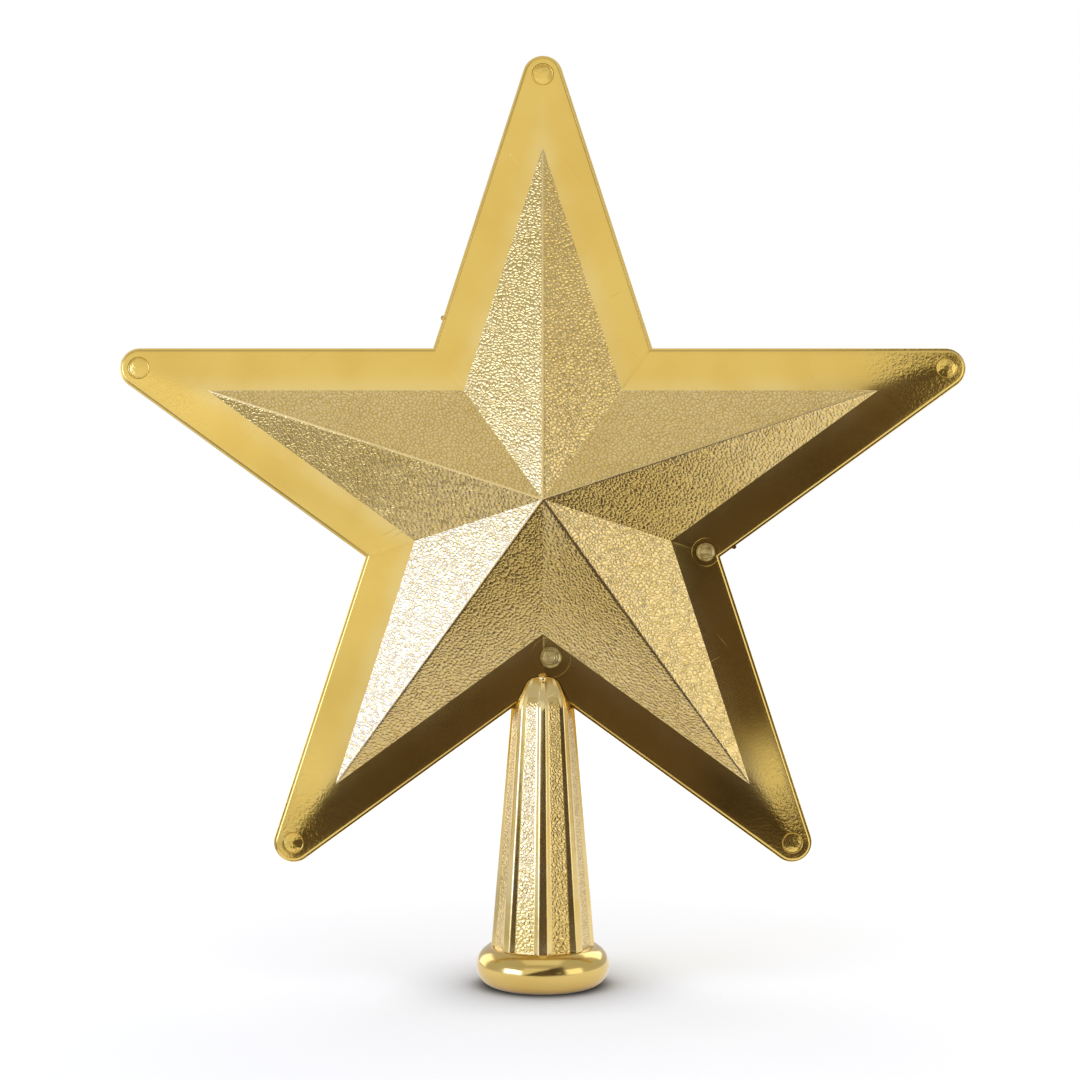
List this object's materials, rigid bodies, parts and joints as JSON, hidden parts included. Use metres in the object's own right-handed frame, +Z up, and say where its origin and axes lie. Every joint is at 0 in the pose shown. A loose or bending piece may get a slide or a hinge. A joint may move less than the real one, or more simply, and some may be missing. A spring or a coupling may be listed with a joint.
{
  "type": "christmas tree topper star",
  "caption": "Gold five-pointed tree topper star: two pinned half shells with a raised faceted star, on a fluted tapered post with a trunk socket and a bead ring foot.",
  "frame": {"origin": "centre of the trunk socket's mouth, on the plane that the bead ring stands on", "axes": "+Z up along the post to the top arm's tip, +X to the viewer's right, front face towards -Y"},
  "size_m": [0.2112, 0.0336, 0.2321],
  "materials": {
    "star_gold": "vacuum plated gold, polished border and grained raised star",
    "post_gold": "vacuum plated gold, polished ribs and grained flutes",
    "ring_gold": "vacuum plated gold, polished",
    "pin_gold": "vacuum plated gold, dished pin end",
    "pin_grey": "thinly plated grey pin end with turning rings"
  },
  "bodies": {
    "root": {"star_front_shell": "star_gold", "star_back_shell": "star_gold", "fluted_post": "post_gold", "base_ring": "ring_gold", "tip_pin_top": "pin_gold", "tip_pin_right": "pin_gold", "tip_pin_lower_right": "pin_gold", "tip_pin_lower_left": "pin_gold", "tip_pin_left": "pin_gold", "corner_pin_right": "pin_grey", "post_lock_pin": "pin_grey"}
  },
  "joints": []
}
